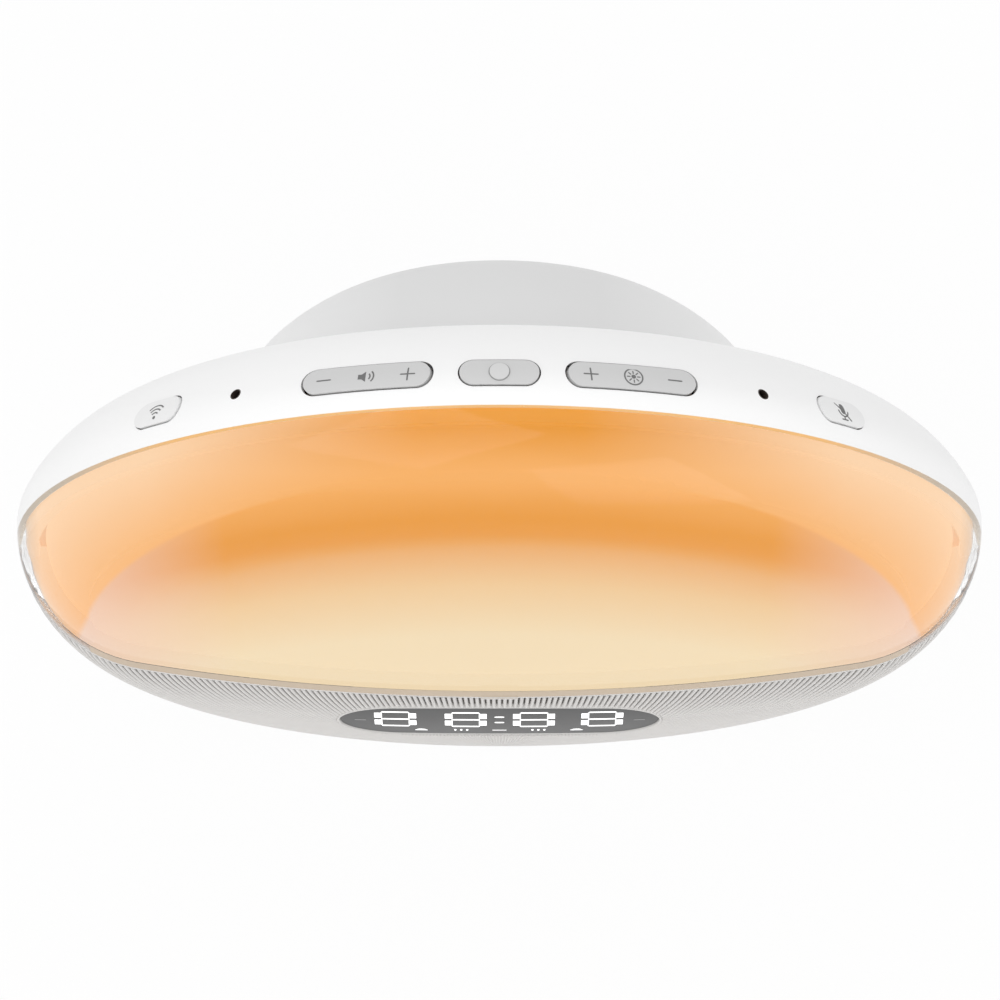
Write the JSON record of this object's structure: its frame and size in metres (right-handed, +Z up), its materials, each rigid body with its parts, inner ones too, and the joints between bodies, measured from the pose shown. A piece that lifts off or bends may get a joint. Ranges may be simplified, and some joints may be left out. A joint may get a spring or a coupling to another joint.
{
  "type": "sunrise alarm clock",
  "caption": "Upright round sunrise alarm clock with a lit clear face, a ribbed speaker front with a display window, and buttons along its top.",
  "frame": {"origin": "centre of the overall box, on the table plane under the rubber foot", "axes": "+Z up, -Y towards the person in front of the lit face, +X to that person's right"},
  "size_m": [0.22, 0.0913, 0.2062],
  "materials": {
    "white_shell": "satin moulded white",
    "grey_cover": "satin moulded pale grey",
    "clear_lens": "clear polished cover",
    "lit_diffuser": "opal, lit warm from behind",
    "white_inner": "plain moulded white",
    "grille_grey": "satin pale grey ribs",
    "dark_mesh": "dark perforated sheet",
    "smoked_window": "dark smoked polished",
    "black_plastic": "matte black",
    "button_grey": "satin grey with white edge",
    "button_white": "satin white",
    "grey_rubber": "matte grey rubber",
    "white_board": "white coated board",
    "green_board": "green coated board",
    "amber_board": "amber flexible board",
    "bright_steel": "plated steel",
    "light_chip": "warm white emitter",
    "speaker_paper": "black pressed paper",
    "magnet_black": "black coated magnet",
    "ribbon_white": "white flat ribbon"
  },
  "bodies": {
    "root": {"base_plate": "white_shell", "base_screws": "bright_steel", "board_screws": "bright_steel", "brightness_pin": "bright_steel", "button_board": "amber_board", "button_bracket": "white_inner", "button_ribbon": "ribbon_white", "chassis": "white_inner", "chassis_screws": "bright_steel", "cover_screws": "bright_steel", "diffuser": "lit_diffuser", "display_block": "white_inner", "display_board": "green_board", "display_holder": "white_inner", "display_mask": "black_plastic", "display_ribbon": "ribbon_white", "display_window": "smoked_window", "front_lens": "clear_lens", "lens_seal": "grey_rubber", "light_board": "white_board", "light_chips": "light_chip", "light_ribbon": "ribbon_white", "light_shelf": "white_inner", "main_board": "green_board", "mic_seal_left": "grey_rubber", "mic_seal_right": "grey_rubber", "microphone_left": "bright_steel", "microphone_right": "bright_steel", "power_inlet": "black_plastic", "processor_shield": "bright_steel", "rear_cover": "grey_cover", "rim_housing": "white_shell", "rubber_foot": "grey_rubber", "speaker_cone_left": "speaker_paper", "speaker_cone_right": "speaker_paper", "speaker_frame_left": "black_plastic", "speaker_frame_right": "black_plastic", "speaker_gasket_left": "grey_rubber", "speaker_gasket_right": "grey_rubber", "speaker_grille": "grille_grey", "speaker_magnet_left": "magnet_black", "speaker_magnet_right": "magnet_black", "speaker_mesh": "dark_mesh", "speaker_screws": "bright_steel", "switch_brightness_down": "black_plastic", "switch_brightness_up": "black_plastic", "switch_centre": "black_plastic", "switch_mute": "black_plastic", "switch_volume_down": "black_plastic", "switch_volume_up": "black_plastic", "switch_wifi": "black_plastic", "volume_pin": "bright_steel", "wifi_antenna": "amber_board", "wifi_module": "bright_steel"},
    "volume_rocker": {"volume_rocker": "button_grey"},
    "brightness_rocker": {"brightness_rocker": "button_grey"},
    "centre_button": {"centre_button": "button_grey"},
    "wifi_button": {"wifi_button": "button_white"},
    "mute_button": {"mute_button": "button_white"}
  },
  "joints": [
    {"name": "volume_rocker_tilt", "type": "hinge", "parent": "root", "child": "volume_rocker", "pos_m": [-0.02573, -0.00945, 0.18954], "axis": [0, 1, 0], "range_deg": [-1.5, 1.5], "stiffness_Nm_per_rad": 0.3},
    {"name": "brightness_rocker_tilt", "type": "hinge", "parent": "root", "child": "brightness_rocker", "pos_m": [0.02573, -0.00945, 0.18954], "axis": [0, 1, 0], "range_deg": [-1.5, 1.5], "stiffness_Nm_per_rad": 0.3},
    {"name": "centre_button_press", "type": "slide", "parent": "root", "child": "centre_button", "axis": [0, 0, -1], "range_m": [0, 0.0006], "stiffness_N_per_m": 3000},
    {"name": "wifi_button_press", "type": "slide", "parent": "root", "child": "wifi_button", "axis": [0.6858, 0, -0.7278], "range_m": [0, 0.0006], "stiffness_N_per_m": 3000},
    {"name": "mute_button_press", "type": "slide", "parent": "root", "child": "mute_button", "axis": [-0.6858, 0, -0.7278], "range_m": [0, 0.0006], "stiffness_N_per_m": 3000}
  ]
}
